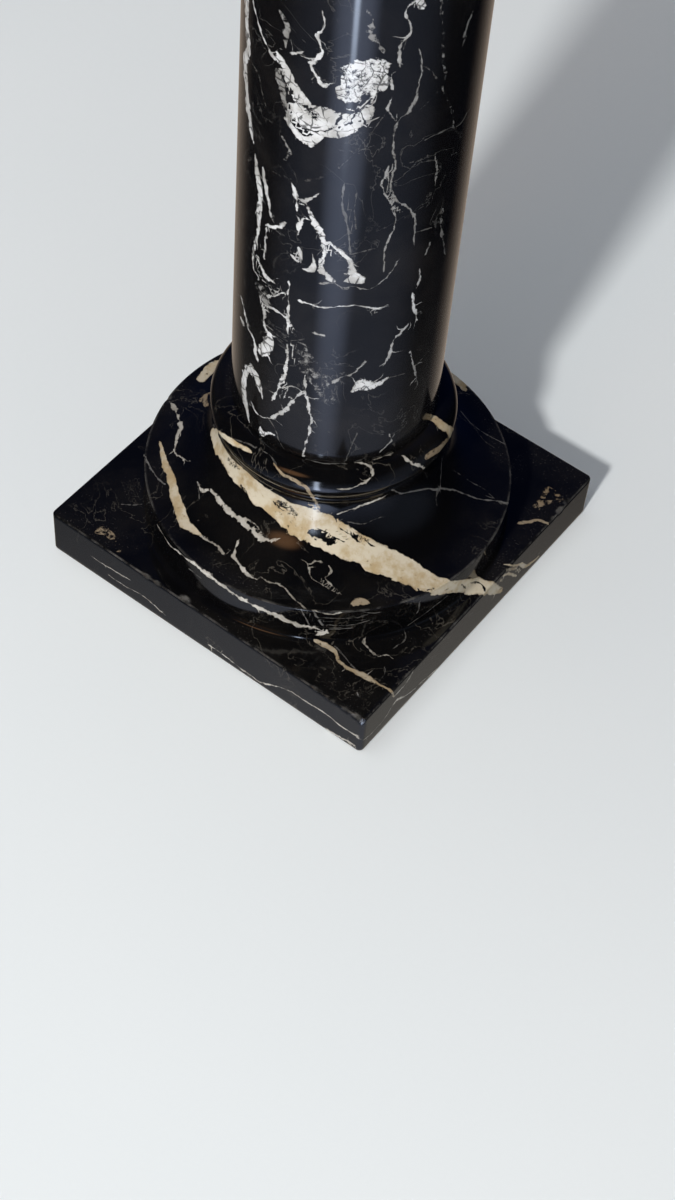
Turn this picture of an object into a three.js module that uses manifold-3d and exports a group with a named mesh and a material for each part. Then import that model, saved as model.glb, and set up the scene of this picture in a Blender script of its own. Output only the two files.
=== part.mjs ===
// A free-standing column of black veined marble: a base turned and squared from one block,
// a plain round shaft, and a plain capital. Millimetres, +Z up, underside of the plinth at z = 0.
import * as THREE from "three";
import { mergeVertices } from "three/addons/utils/BufferGeometryUtils.js";
import Module from "manifold-3d";

// Heights of the three stones
const BASE_HEIGHT = 168;
const SHAFT_HEIGHT = 742;
const CAPITAL_HEIGHT = 130;

// Square plinth at the foot
const PLINTH_SIDE = 300;
const PLINTH_HEIGHT = 41.5;

// Turned part of the base, from the plinth up
const DRUM_RADIUS = 140;
const DRUM_FOOT_FILLET = 4;
const RIM_LEVEL = 77.5;
const COVE_NECK_RADIUS = 82;
const BASE_LISTEL_HEIGHT = 5.5;
const BASE_LISTEL_STEP = 2;
const TORUS_RADIUS = 15;

// Shaft
const SHAFT_RADIUS = 76;
const SHAFT_ARRIS = 0.8;

// Capital, a plainer turn of the base upside down
const ASTRAGAL_RADIUS = 10;
const CAPITAL_NECK_RADIUS = 79;
const CAPITAL_DRUM_RADIUS = 124;
const CAPITAL_DRUM_BAND = 22;
const ABACUS_SIDE = 270;
const ABACUS_HEIGHT = 38;

// Worn edges of the squared slabs
const SLAB_CORNER_RADIUS = 4;
const SLAB_ARRIS = 1.5;

// Fineness of the turned surfaces
const TURNED_SIDES = 80;
const CORNER_STEPS = 3;
const FILLET_STEPS = 3;
const COVE_STEPS = 9;
const ROUND_STEPS = 9;

// Depth by which a turned part is let into its slab before the two become one block
const BLOCK_OVERLAP = 10;

// Angle below the horizontal at which the torus meets the listel under it
const TORUS_UNDERCUT = THREE.MathUtils.degToRad(75);

const QUARTER = Math.PI / 2;

const wasm = await Module();
wasm.setup();

// Closed solid made from a three.js geometry, without the zero-size triangles on the axis
function toSolid(geometry) {
  const bare = geometry.clone();
  bare.deleteAttribute("normal");
  bare.deleteAttribute("uv");
  const merged = mergeVertices(bare);
  const corners = merged.index.array;
  const kept = [];
  for (let i = 0; i < corners.length; i += 3) {
    const [a, b, c] = [corners[i], corners[i + 1], corners[i + 2]];
    if (a !== b && b !== c && c !== a) kept.push(a, b, c);
  }
  const vertProperties = new Float32Array(merged.attributes.position.array);
  const triVerts = new Uint32Array(kept);
  return new wasm.Manifold(new wasm.Mesh({ numProp: 3, vertProperties, triVerts }));
}

// Geometry of a closed solid
function toGeometry(solid) {
  const mesh = solid.getMesh();
  const geometry = new THREE.BufferGeometry();
  geometry.setAttribute("position", new THREE.BufferAttribute(mesh.vertProperties, 3));
  geometry.setIndex(new THREE.BufferAttribute(mesh.triVerts, 1));
  geometry.computeVertexNormals();
  return geometry;
}

// Points of an elliptical arc in a profile, as (radius, height) pairs
function arc(centreRadius, centreHeight, acrossRadius, upRadius, from, to, steps) {
  return Array.from({ length: steps + 1 }, (_, i) => {
    const angle = from + ((to - from) * i) / steps;
    const radius = centreRadius + acrossRadius * Math.cos(angle);
    const height = centreHeight + upRadius * Math.sin(angle);
    return new THREE.Vector2(radius, height);
  });
}

// Profile turned about the Z axis
function turned(profile) {
  return new THREE.LatheGeometry(profile, TURNED_SIDES).rotateX(QUARTER);
}

// Square slab with rounded corners and softened arrises, its underside at the given level
function slab(side, height, level) {
  const half = side / 2;
  const inner = half - SLAB_CORNER_RADIUS;
  const outline = new THREE.Shape();
  outline.absarc(inner, inner, SLAB_CORNER_RADIUS, 0, QUARTER, false);
  outline.absarc(-inner, inner, SLAB_CORNER_RADIUS, QUARTER, 2 * QUARTER, false);
  outline.absarc(-inner, -inner, SLAB_CORNER_RADIUS, 2 * QUARTER, 3 * QUARTER, false);
  outline.absarc(inner, -inner, SLAB_CORNER_RADIUS, 3 * QUARTER, 4 * QUARTER, false);
  const geometry = new THREE.ExtrudeGeometry(outline, {
    depth: height - 2 * SLAB_ARRIS,
    bevelEnabled: true,
    bevelSize: SLAB_ARRIS,
    bevelOffset: -SLAB_ARRIS,
    bevelThickness: SLAB_ARRIS,
    bevelSegments: 2,
    curveSegments: CORNER_STEPS,
  });
  return geometry.translate(0, 0, level + SLAB_ARRIS);
}

// Base: square plinth, drum with a hollow foot, deep cove, listel and torus in one block
function baseGeometry() {
  const footRadius = DRUM_RADIUS + DRUM_FOOT_FILLET;
  const footTop = PLINTH_HEIGHT + DRUM_FOOT_FILLET;
  const torusLevel = BASE_HEIGHT - TORUS_RADIUS;
  const listelRadius = COVE_NECK_RADIUS + BASE_LISTEL_STEP;
  const listelTop = torusLevel - TORUS_RADIUS * Math.sin(TORUS_UNDERCUT);
  const coveTop = listelTop - BASE_LISTEL_HEIGHT;
  const profile = [
    new THREE.Vector2(0, PLINTH_HEIGHT - BLOCK_OVERLAP),
    new THREE.Vector2(footRadius, PLINTH_HEIGHT - BLOCK_OVERLAP),
    ...arc(footRadius, footTop, DRUM_FOOT_FILLET, DRUM_FOOT_FILLET,
      3 * QUARTER, 2 * QUARTER, FILLET_STEPS),
    ...arc(DRUM_RADIUS, coveTop, DRUM_RADIUS - COVE_NECK_RADIUS, coveTop - RIM_LEVEL,
      3 * QUARTER, 2 * QUARTER, COVE_STEPS),
    new THREE.Vector2(listelRadius, coveTop),
    new THREE.Vector2(listelRadius, listelTop),
    ...arc(SHAFT_RADIUS, torusLevel, TORUS_RADIUS, TORUS_RADIUS, -TORUS_UNDERCUT, QUARTER, ROUND_STEPS),
    new THREE.Vector2(0, BASE_HEIGHT),
  ];
  const plinth = toSolid(slab(PLINTH_SIDE, PLINTH_HEIGHT, 0));
  return toGeometry(plinth.add(toSolid(turned(profile))));
}

// Shaft: a plain cylinder with fine arrises at its two beds
function shaftGeometry() {
  const bottom = BASE_HEIGHT;
  const top = BASE_HEIGHT + SHAFT_HEIGHT;
  const bedRadius = SHAFT_RADIUS - SHAFT_ARRIS;
  const profile = [
    new THREE.Vector2(0, bottom),
    new THREE.Vector2(bedRadius, bottom),
    new THREE.Vector2(SHAFT_RADIUS, bottom + SHAFT_ARRIS),
    new THREE.Vector2(SHAFT_RADIUS, top - SHAFT_ARRIS),
    new THREE.Vector2(bedRadius, top),
    new THREE.Vector2(0, top),
  ];
  return toGeometry(toSolid(turned(profile)));
}

// Capital: astragal, cove, drum and square abacus in one block
function capitalGeometry() {
  const bottom = BASE_HEIGHT + SHAFT_HEIGHT;
  const astragalTop = bottom + 2 * ASTRAGAL_RADIUS;
  const abacusLevel = bottom + CAPITAL_HEIGHT - ABACUS_HEIGHT;
  const rimLevel = abacusLevel - CAPITAL_DRUM_BAND;
  const flare = CAPITAL_DRUM_RADIUS - CAPITAL_NECK_RADIUS;
  const profile = [
    new THREE.Vector2(0, bottom),
    ...arc(SHAFT_RADIUS, bottom + ASTRAGAL_RADIUS, ASTRAGAL_RADIUS, ASTRAGAL_RADIUS,
      -QUARTER, TORUS_UNDERCUT, ROUND_STEPS),
    ...arc(CAPITAL_DRUM_RADIUS, astragalTop, flare, rimLevel - astragalTop,
      2 * QUARTER, QUARTER, COVE_STEPS),
    new THREE.Vector2(CAPITAL_DRUM_RADIUS, abacusLevel + BLOCK_OVERLAP),
    new THREE.Vector2(0, abacusLevel + BLOCK_OVERLAP),
  ];
  const abacus = toSolid(slab(ABACUS_SIDE, ABACUS_HEIGHT, abacusLevel));
  return toGeometry(abacus.add(toSolid(turned(profile))));
}

// Polished black marble; the stones differ a little in tone
function marble(color) {
  return new THREE.MeshStandardMaterial({ color, roughness: 0.15, metalness: 0 });
}

function stone(name, geometry, color) {
  const mesh = new THREE.Mesh(geometry, marble(color));
  mesh.name = name;
  return mesh;
}

const column = new THREE.Group();
column.name = "marble_column";
column.add(
  stone("base", baseGeometry(), 0x1c1d22),
  stone("shaft", shaftGeometry(), 0x2a2b31),
  stone("capital", capitalGeometry(), 0x1f2025),
);

export default column;
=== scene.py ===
import math

import bpy
import numpy as np
from mathutils import Matrix, Vector, noise
from mathutils.bvhtree import BVHTree


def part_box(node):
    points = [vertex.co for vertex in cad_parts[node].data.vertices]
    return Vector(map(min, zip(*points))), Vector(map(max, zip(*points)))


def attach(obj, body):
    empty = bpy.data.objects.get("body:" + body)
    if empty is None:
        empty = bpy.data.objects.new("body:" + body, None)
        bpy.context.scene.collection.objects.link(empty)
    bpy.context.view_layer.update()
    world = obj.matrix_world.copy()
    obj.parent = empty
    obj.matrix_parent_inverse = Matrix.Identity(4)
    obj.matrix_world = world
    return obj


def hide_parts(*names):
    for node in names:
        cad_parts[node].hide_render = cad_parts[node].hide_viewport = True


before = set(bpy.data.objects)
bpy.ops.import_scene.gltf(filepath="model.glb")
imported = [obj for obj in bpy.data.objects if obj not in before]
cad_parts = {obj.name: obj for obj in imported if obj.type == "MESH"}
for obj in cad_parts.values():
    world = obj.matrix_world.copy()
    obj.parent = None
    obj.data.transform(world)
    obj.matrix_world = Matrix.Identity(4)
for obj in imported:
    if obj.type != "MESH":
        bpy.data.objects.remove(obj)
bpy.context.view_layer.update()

MM = 0.001
SEED = 7

# Sizes in millimetres, taken from the frame where it gives them
BASE_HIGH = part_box("base")[1] / MM
SHAFT_LOW, SHAFT_HIGH = (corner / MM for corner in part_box("shaft"))
CAPITAL_LOW, CAPITAL_HIGH = (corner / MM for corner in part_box("capital"))
PLINTH_HALF = BASE_HIGH.x
PLINTH_TOP = 41.5
SHAFT_RADIUS = SHAFT_HIGH.x
DRUM_RADIUS = 140
DRUM_FOOT_FILLET = 4
RIM_LEVEL = 77.5
COVE_NECK_RADIUS = 82
COVE_TOP = 133
LISTEL_RADIUS = 84
LISTEL_TOP = 138.5
TORUS_RADIUS = 15
TORUS_UNDERCUT = 75
SLAB_CORNER = 4
SLAB_ARRIS = 1.5
TURNED_ARRIS = 0.6
SHAFT_ARRIS = 0.8
ASTRAGAL_RADIUS = 10
CAPITAL_NECK_RADIUS = 79
CAPITAL_DRUM_RADIUS = 124
CAPITAL_DRUM_BAND = 22
ABACUS_HALF = CAPITAL_HIGH.x
ABACUS_HEIGHT = 38

# Camera, fitted to the plinth's corners, the rim and the shaft's edges in the 675 by 1200 photograph
IMAGE_WIDTH, IMAGE_HEIGHT = 675, 1200
VIEW_AZIMUTH = math.radians(33.93)
VIEW_ELEVATION = math.radians(51.18)
VIEW_ROLL = math.radians(4.77)
VIEW_DISTANCE = 1701
FOOT_CENTRE_PIXEL = (323.25, 527.88)
FOCAL_PIXELS = 2148.4
SENSOR_MM = 36


def camera_rows():
    """Camera's right, down and forward directions as matrix rows, and its place in millimetres."""
    back = Vector((math.sin(VIEW_AZIMUTH) * math.cos(VIEW_ELEVATION),
                   -math.cos(VIEW_AZIMUTH) * math.cos(VIEW_ELEVATION),
                   math.sin(VIEW_ELEVATION)))
    right = Vector((math.cos(VIEW_AZIMUTH), math.sin(VIEW_AZIMUTH), 0))
    upright = Matrix((right, -back.cross(right), -back))
    foot = Vector(((FOOT_CENTRE_PIXEL[0] - IMAGE_WIDTH / 2) / FOCAL_PIXELS,
                   (FOOT_CENTRE_PIXEL[1] - IMAGE_HEIGHT / 2) / FOCAL_PIXELS, 1))
    aim = Vector((0, 0, 1)).rotation_difference(foot).to_matrix()
    roll = Matrix.Rotation(VIEW_ROLL, 3, "Z")
    return aim @ roll @ upright, back * VIEW_DISTANCE


CAMERA_ROWS, CAMERA_PLACE = camera_rows()


def pixel_ray(x, y):
    """Direction in which the camera sees a pixel of the photograph."""
    seen = Vector(((x - IMAGE_WIDTH / 2) / FOCAL_PIXELS, (y - IMAGE_HEIGHT / 2) / FOCAL_PIXELS, 1))
    return (CAMERA_ROWS.transposed() @ seen).normalized()


# Turned and squared surfaces as stacks of rings with the same columns

def column_angles(count, fine_spots):
    """Angles round the axis, evenly spaced, with finer columns about each (centre, spread, count) spot."""
    angles = list(np.linspace(0, 360, count, endpoint=False))
    for centre, spread, fine in fine_spots:
        angles = [a for a in angles if abs((a - centre + 180) % 360 - 180) > spread]
        angles += list((centre + np.linspace(-spread, spread, fine)) % 360)
    return np.radians(np.sort(angles))


def square_radius(angles, half, corner):
    """Distance from the axis to a square with rounded corners, for each angle."""
    along = np.maximum(abs(np.cos(angles)), abs(np.sin(angles)))
    across = np.minimum(abs(np.cos(angles)), abs(np.sin(angles)))
    inner = half - corner
    reach = inner * (along + across)
    on_corner = reach + np.sqrt(np.maximum(reach ** 2 - 2 * inner ** 2 + corner ** 2, 0))
    return np.where(half * across / along <= inner, half / along, on_corner)


def arc(centre_r, centre_z, across, up, start, end, steps):
    """Points of an elliptical arc as (radius, height) pairs, angles in degrees."""
    t = np.radians(np.linspace(start, end, steps + 1))
    return list(zip(centre_r + across * np.cos(t), centre_z + up * np.sin(t)))


def straight(start, end, steps):
    """Points of a straight stretch of a profile, without its first point."""
    return [tuple(p) for p in np.linspace(start, end, steps + 1)[1:]]


class Rings:
    """A stack of rings from the bottom pole to the top pole, with a share of edge wear for each ring."""

    def __init__(self, angles):
        self.angles = angles
        self.radii = []
        self.levels = []
        self.wear = []

    def add(self, radius, level, wear=0.0):
        self.radii.append(np.broadcast_to(radius, self.angles.shape))
        self.levels.append(level)
        self.wear.append(wear)

    def add_round(self, points, wear=0.0):
        for radius, level in points:
            self.add(radius, level, wear)

    def points(self):
        """All points in millimetres, ring by ring, then the two poles."""
        radii = np.array(self.radii)
        levels = np.broadcast_to(np.array(self.levels)[:, None], radii.shape)
        grid = np.stack([radii * np.cos(self.angles), radii * np.sin(self.angles), levels], -1)
        poles = [[0, 0, self.levels[0]], [0, 0, self.levels[-1]]]
        return np.concatenate([grid.reshape(-1, 3), poles])

    def faces(self):
        rings, columns = len(self.levels), len(self.angles)
        here = np.arange(columns)
        after = np.roll(here, -1)
        quads = []
        for row in range(rings - 1):
            low, high = row * columns, (row + 1) * columns
            quads += np.stack([low + here, low + after, high + after, high + here], -1).tolist()
        bottom, top = rings * columns, rings * columns + 1
        last = (rings - 1) * columns
        caps = [[bottom, b, a] for a, b in zip(here.tolist(), after.tolist())]
        caps += [[top, last + a, last + b] for a, b in zip(here.tolist(), after.tolist())]
        return quads + caps

    def wear_values(self):
        return np.concatenate([np.repeat(self.wear, len(self.angles)), [0.0, 0.0]])


def add_slab_side(rings, half, low, high, steps, worn):
    """Side of a squared slab with a small round along its lower and upper arris."""
    turn = np.radians(np.linspace(0, 90, 4))
    for t in turn:
        inset = SLAB_ARRIS * (1 - np.sin(t))
        level = low + SLAB_ARRIS * (1 - np.cos(t))
        rings.add(square_radius(rings.angles, half - inset, SLAB_CORNER), level, worn * math.sin(2 * t))
    for level in np.linspace(low + SLAB_ARRIS, high - SLAB_ARRIS, steps + 1)[1:-1]:
        rings.add(square_radius(rings.angles, half, SLAB_CORNER), level)
    for t in turn:
        inset = SLAB_ARRIS * (1 - np.cos(t))
        level = high - SLAB_ARRIS * (1 - np.sin(t))
        rings.add(square_radius(rings.angles, half - inset, SLAB_CORNER), level, worn * math.sin(2 * t))


def add_flat(rings, start, end, level, shares):
    """Flat ring between two outlines, at the given shares of the way."""
    for share in shares:
        rings.add((1 - share) * start + share * end, level)


def base_rings():
    corner_spots = [(centre, 1.3, 15) for centre in (45, 135, 225)]
    chipped_spots = [(315, 3.0, 37), (37, 4.0, 33)]
    rings = Rings(column_angles(420, corner_spots + chipped_spots))
    bed = square_radius(rings.angles, PLINTH_HALF - SLAB_ARRIS, SLAB_CORNER)
    add_flat(rings, 0 * bed, bed, 0, (0.3, 0.6, 0.85, 0.97))
    add_slab_side(rings, PLINTH_HALF, 0, PLINTH_TOP, 18, 1.0)
    foot = DRUM_RADIUS + DRUM_FOOT_FILLET
    add_flat(rings, bed, foot + 0 * bed, PLINTH_TOP, np.linspace(0, 1, 27)[1:-1])
    foot_level = PLINTH_TOP + DRUM_FOOT_FILLET
    rings.add_round(arc(foot, foot_level, DRUM_FOOT_FILLET, DRUM_FOOT_FILLET, 270, 180, 6))
    rim = RIM_LEVEL - TURNED_ARRIS
    rings.add_round(straight((DRUM_RADIUS, foot_level), (DRUM_RADIUS, rim - 0.3), 16))
    rings.add_round(arc(DRUM_RADIUS - TURNED_ARRIS, rim, TURNED_ARRIS, TURNED_ARRIS, 0, 90, 3), 0.7)
    cove = arc(DRUM_RADIUS, COVE_TOP, DRUM_RADIUS - COVE_NECK_RADIUS, COVE_TOP - RIM_LEVEL, 270, 180, 46)
    rings.add_round(cove[1:])
    rings.add_round(straight((COVE_NECK_RADIUS, COVE_TOP), (LISTEL_RADIUS, COVE_TOP + 0.2), 2), 0.2)
    rings.add_round(straight((LISTEL_RADIUS, COVE_TOP), (LISTEL_RADIUS, LISTEL_TOP - 0.3), 3))
    torus_level = BASE_HIGH.z - TORUS_RADIUS
    torus = arc(SHAFT_RADIUS, torus_level, TORUS_RADIUS, TORUS_RADIUS, -TORUS_UNDERCUT, 90, 28)
    rings.add_round(straight((LISTEL_RADIUS - 0.3, LISTEL_TOP), torus[0], 2))
    rings.add_round(torus[1:])
    rings.add_round(straight((SHAFT_RADIUS, BASE_HIGH.z), (SHAFT_RADIUS * 0.3, BASE_HIGH.z), 3))
    return rings


def shaft_rings():
    rings = Rings(column_angles(288, []))
    bed = SHAFT_RADIUS - SHAFT_ARRIS
    rings.add_round([(bed * 0.3, SHAFT_LOW.z), (bed * 0.9, SHAFT_LOW.z), (bed, SHAFT_LOW.z)])
    low, high = SHAFT_LOW.z + SHAFT_ARRIS, SHAFT_HIGH.z - SHAFT_ARRIS
    rings.add(SHAFT_RADIUS, low)
    rings.add_round(straight((SHAFT_RADIUS, low), (SHAFT_RADIUS, high), 310))
    rings.add_round([(bed, SHAFT_HIGH.z), (bed * 0.9, SHAFT_HIGH.z), (bed * 0.3, SHAFT_HIGH.z)])
    return rings


def capital_rings():
    rings = Rings(column_angles(300, [(centre, 1.4, 13) for centre in (45, 135, 225, 315)]))
    bottom = CAPITAL_LOW.z
    abacus_low = CAPITAL_HIGH.z - ABACUS_HEIGHT
    rim = abacus_low - CAPITAL_DRUM_BAND
    neck = bottom + 2 * ASTRAGAL_RADIUS
    rings.add_round([(SHAFT_RADIUS * 0.3, bottom), (SHAFT_RADIUS * 0.9, bottom)])
    rings.add_round(arc(SHAFT_RADIUS, bottom + ASTRAGAL_RADIUS, ASTRAGAL_RADIUS, ASTRAGAL_RADIUS,
                        -90, TORUS_UNDERCUT, 18))
    rings.add_round(arc(CAPITAL_DRUM_RADIUS, neck, CAPITAL_DRUM_RADIUS - CAPITAL_NECK_RADIUS, rim - neck,
                        180, 90, 26)[:-1])
    rings.add_round(arc(CAPITAL_DRUM_RADIUS - TURNED_ARRIS, rim + TURNED_ARRIS, TURNED_ARRIS, TURNED_ARRIS,
                        -90, 0, 3), 0.6)
    band_low = rim + TURNED_ARRIS + 0.3
    rings.add_round(straight((CAPITAL_DRUM_RADIUS, band_low), (CAPITAL_DRUM_RADIUS, abacus_low), 9))
    bed = square_radius(rings.angles, ABACUS_HALF - SLAB_ARRIS, SLAB_CORNER)
    add_flat(rings, CAPITAL_DRUM_RADIUS + 0 * bed, bed, abacus_low, np.linspace(0, 1, 13)[1:-1])
    add_slab_side(rings, ABACUS_HALF, abacus_low, CAPITAL_HIGH.z, 14, 0.8)
    add_flat(rings, bed, 0 * bed, CAPITAL_HIGH.z, np.linspace(0, 1, 32)[1:-1])
    return rings


# Veins as strokes: (half width in mm, tone, points), a point being a pixel of the photograph
# and, where it changes along the vein, a share of the half width.
# Tone 1 is solid and bright, lower tones are duller and more broken up. A few strokes are painted highlights
# and painted reflections, not veins; each is marked where it stands.

BASE_BROAD = {
    "great vein": (10.0, 1.0, (
        (212, 431, 0.25), (217, 443, 0.55), (224, 456, 0.6), (234, 470, 0.7), (245, 480, 0.85),
        (257, 492, 0.95), (271, 503, 1.05), (286, 514, 1.1), (301, 522, 1.3), (315, 527, 1.4),
        (330, 534, 1.25), (346, 543, 1.1), (364, 552, 1.05), (382, 560, 1.05), (402, 569, 1.05),
        (416, 577, 1.0), (428, 582, 0.9), (436, 585, 0.75), (448, 587, 0.6), (465, 586, 0.65),
        (477, 586, 0.7), (489, 588, 0.55), (501, 591, 0.25))),
    "behind the torus": (4.6, 0.86, ((216, 363, 0.7), (209, 370, 1.0), (202, 379, 0.8))),
    "comb behind the torus": (3.5, 0.62, ((208, 394, 0.6), (203, 399, 1.0), (206, 406, 0.6))),
    "left vein": (3.7, 0.86, (
        (160, 442, 0.25), (163, 454, 0.5), (167, 468, 0.7), (171, 478, 0.9), (174, 494, 1.0),
        (180, 509, 1.1), (184, 522, 1.1), (192, 529, 0.7), (200, 535, 0.3))),
    "torus pale band": (2.2, 0.95, (
        (215, 430, 0.7), (224, 436), (234, 443), (240, 446, 0.7), (250, 452, 0.6))),
    "torus to neck": (1.4, 0.72, (
        (274, 464, 0.5), (283, 474, 0.9), (293, 479, 1.0), (305, 488, 1.3), (313, 497, 0.9), (318, 507))),
    "torus band": (3.6, 0.95, ((433, 419), (443, 426), (453, 433))),
    "torus patch": (2.5, 0.68, ((448, 439, 0.8), (439, 449, 1.0), (427, 457, 0.8))),
    "side fragment": (1.5, 0.9, (
        (505, 565, 0.4), (514, 565, 0.6), (521, 564, 1.0), (525, 567, 1.3), (531, 563, 1.1),
        (539, 556, 0.5))),
    "side fragment below": (1.2, 0.88, ((504, 575), (510, 573), (516, 576))),
    "plinth vein": (1.7, 0.78, (
        (316, 640, 0.8), (324, 645, 1.2), (331, 649, 1.3), (336, 653, 0.6), (340, 661, 0.7),
        (347, 667, 0.8),
        (357, 672, 1.0), (363, 675, 1.3), (370, 679, 1.2), (377, 683, 0.7), (385, 688, 0.6),
        (390, 691, 0.7),
        (394, 696, 0.6))),
    "plinth ring right": (1.8, 0.55, (
        (535, 506), (541, 500), (548, 489), (556, 494), (562, 499), (550, 502), (541, 505))),
    "plinth stroke right": (1.2, 0.7, ((519, 523), (529, 522), (537, 520), (548, 523))),
    "plinth patch left": (3.4, 0.6, ((98, 532, 0.7), (104, 530, 1.0), (112, 537, 0.8))),
    "plinth patch left below": (2.6, 0.48, ((115, 545), (120, 550))),
    "rim patch": (3.4, 0.72, ((355, 603, 0.8), (360, 602, 1.0), (366, 602, 0.7))),
}

BASE_DARK = {
    "slot": (3.0, 1.0, ((311, 532, 0.7), (318, 536, 1.0), (326, 540, 1.0), (334, 543, 0.4))),
    "streak one": (0.8, 1.0, ((340, 528, 0.5), (352, 536, 1.0), (364, 545, 0.6))),
    "streak two": (0.6, 1.0, ((346, 529, 0.5), (358, 535, 1.0), (370, 540, 0.5))),
    "streak three": (0.5, 0.9, ((318, 529), (330, 535), (344, 542))),
    "streak four": (0.5, 0.9, ((352, 533), (364, 540), (374, 547))),
    "upper spots": (2.6, 0.62, ((228, 460, 0.7), (233, 464, 1.0), (238, 468, 0.7))),
    "edge spots": (2.2, 0.66, ((241, 486, 0.6), (245, 493, 1.0), (248, 500, 0.7))),
    "middle spots": (2.4, 0.62, ((275, 502, 0.6), (282, 505, 1.0), (289, 508, 1.0), (296, 514, 0.7))),
    "lower spots": (2.0, 0.5, ((278, 512), (288, 519), (298, 526))),
    "notch": (0.9, 1.0, ((335, 515), (336, 521))),
    "drum crack": (0.7, 1.0, ((462, 584), (465, 589))),
    "drum curl": (0.9, 0.95, ((470, 584), (476, 582), (483, 586), (485, 591))),
    "edge line": (0.5, 0.9, ((388, 545), (402, 553), (416, 560), (428, 567))),
    "rim specks": (1.2, 0.6, ((428, 590), (436, 588))),
    "torus gap": (0.7, 1.0, ((219, 436), (229, 446), (238, 456))),
}

BASE_WHITE = {
    "left vein above": (1.4, 0.8, (
        (170, 402, 0.7), (175, 409, 1.1), (179, 420, 1.2), (181, 428, 1.0), (177, 439, 0.8),
        (175, 451, 0.6),
        (179, 456, 0.4), (189, 462, 0.3))),
    "grey vein": (1.7, 0.82, (
        (198, 482, 0.3), (203, 490, 0.6), (212, 492, 0.8), (222, 504, 1.1), (232, 514, 1.2),
        (243, 522, 1.1),
        (251, 529, 1.3), (259, 537, 1.3), (270, 541, 1.1), (279, 538, 0.4))),
    "grey vein strand": (0.8, 0.75, ((246, 518), (254, 524), (261, 532))),
    "left vein tail": (1.2, 0.74, ((200, 535, 0.8), (203, 538, 1.1), (215, 545, 1.0), (224, 554, 0.6))),
    "left vein branch": (0.9, 0.85, (
        (239, 540, 0.7), (236, 548, 1.1), (233, 556, 1.2), (238, 563, 0.9), (247, 573, 1.2),
        (256, 579, 0.6))),
    "cove low line": (0.7, 0.72, ((262, 577), (270, 582), (281, 586), (289, 593), (295, 600), (305, 609))),
    "cove fork": (0.6, 0.7, (
        (302, 560, 0.6), (308, 566, 1.1), (310, 575, 0.7), (316, 581, 0.5), (338, 594, 0.4))),
    "cove fork arm": (0.6, 0.7, ((309, 565), (315, 562), (321, 563))),
    "cove spur": (0.7, 0.72, (
        (329, 567), (331, 573, 1.3), (326, 578, 1.0), (333, 586, 0.8), (341, 594, 0.6))),
    "drum vein": (2.0, 1.0, (
        (157, 524, 0.25), (169, 544, 0.35), (180, 553, 0.5), (191, 562, 0.7), (208, 575, 0.9),
        (221, 584, 1.0),
        (237, 596, 1.1), (253, 605, 1.1), (273, 614, 1.15), (290, 622, 1.2), (301, 626, 1.2),
        (309, 627, 1.0),
        (318, 629, 1.6), (324, 632, 1.6), (317, 635, 0.8))),
    "neck line": (0.8, 0.92, (
        (337, 514, 0.7), (348, 510, 0.9), (357, 507, 1.1), (368, 503, 0.9), (382, 498, 0.8),
        (389, 494, 0.4))),
    "torus loop": (0.9, 0.8, (
        (354, 462, 0.6), (365, 464, 0.9), (372, 470, 1.2), (368, 480, 1.0), (353, 487, 0.8),
        (338, 489, 0.6))),
    "torus right vein": (1.1, 0.85, ((403, 456, 0.7), (411, 462, 1.1), (424, 468, 0.8))),
    "torus right twig": (0.9, 0.7, ((373, 460), (382, 456), (392, 453))),
    "side line": (0.75, 0.9, (
        (209, 645, 1.4), (221, 653, 1.1), (235, 664, 0.9), (250, 675, 0.9), (261, 682, 0.8),
        (279, 687, 0.8),
        (290, 691, 0.7), (307, 702, 0.7), (324, 713, 0.7), (342, 727, 0.7), (358, 737, 0.8))),
    "side line low": (0.75, 0.95, (
        (301, 715, 0.8), (313, 722, 1.1), (328, 730, 1.1), (342, 738, 0.9), (354, 745))),
    "side line lower": (0.5, 0.8, ((324, 733), (342, 741), (355, 748))),
    "side line left": (0.6, 0.85, ((90, 555, 0.8), (102, 563, 1.1), (115, 571, 0.8), (131, 581, 0.5))),
    "side line left low": (0.6, 0.8, (
        (107, 574, 0.5), (120, 583, 0.8), (131, 589, 1.0), (143, 596, 1.0), (154, 605, 1.2),
        (165, 615, 0.5))),
    "right side line": (0.9, 0.95, (
        (396, 701, 1.4), (405, 696, 1.0), (414, 689, 0.9), (424, 680, 0.9), (435, 671, 0.9),
        (441, 665, 0.6))),
    "right side line high": (0.6, 0.85, ((394, 697), (400, 690), (407, 682), (413, 671))),
    "right side line low": (0.5, 0.75, ((364, 740), (372, 733), (382, 722), (390, 710), (394, 702))),
    "plinth hook": (1.0, 0.72, (
        (365, 638, 1.0), (364, 644, 1.3), (370, 650, 1.1), (378, 657, 0.9), (386, 655, 0.8),
        (392, 658, 0.6))),
    # painted reflection: a pale line under the drum's rim that stands in for a stretched reflection of the
    # veins in the polished wall, and for a polishing mark
    "wall reflection and polish streak": (0.8, 0.8, ((313, 611), (325, 613), (333, 614), (341, 612))),
}

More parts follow.
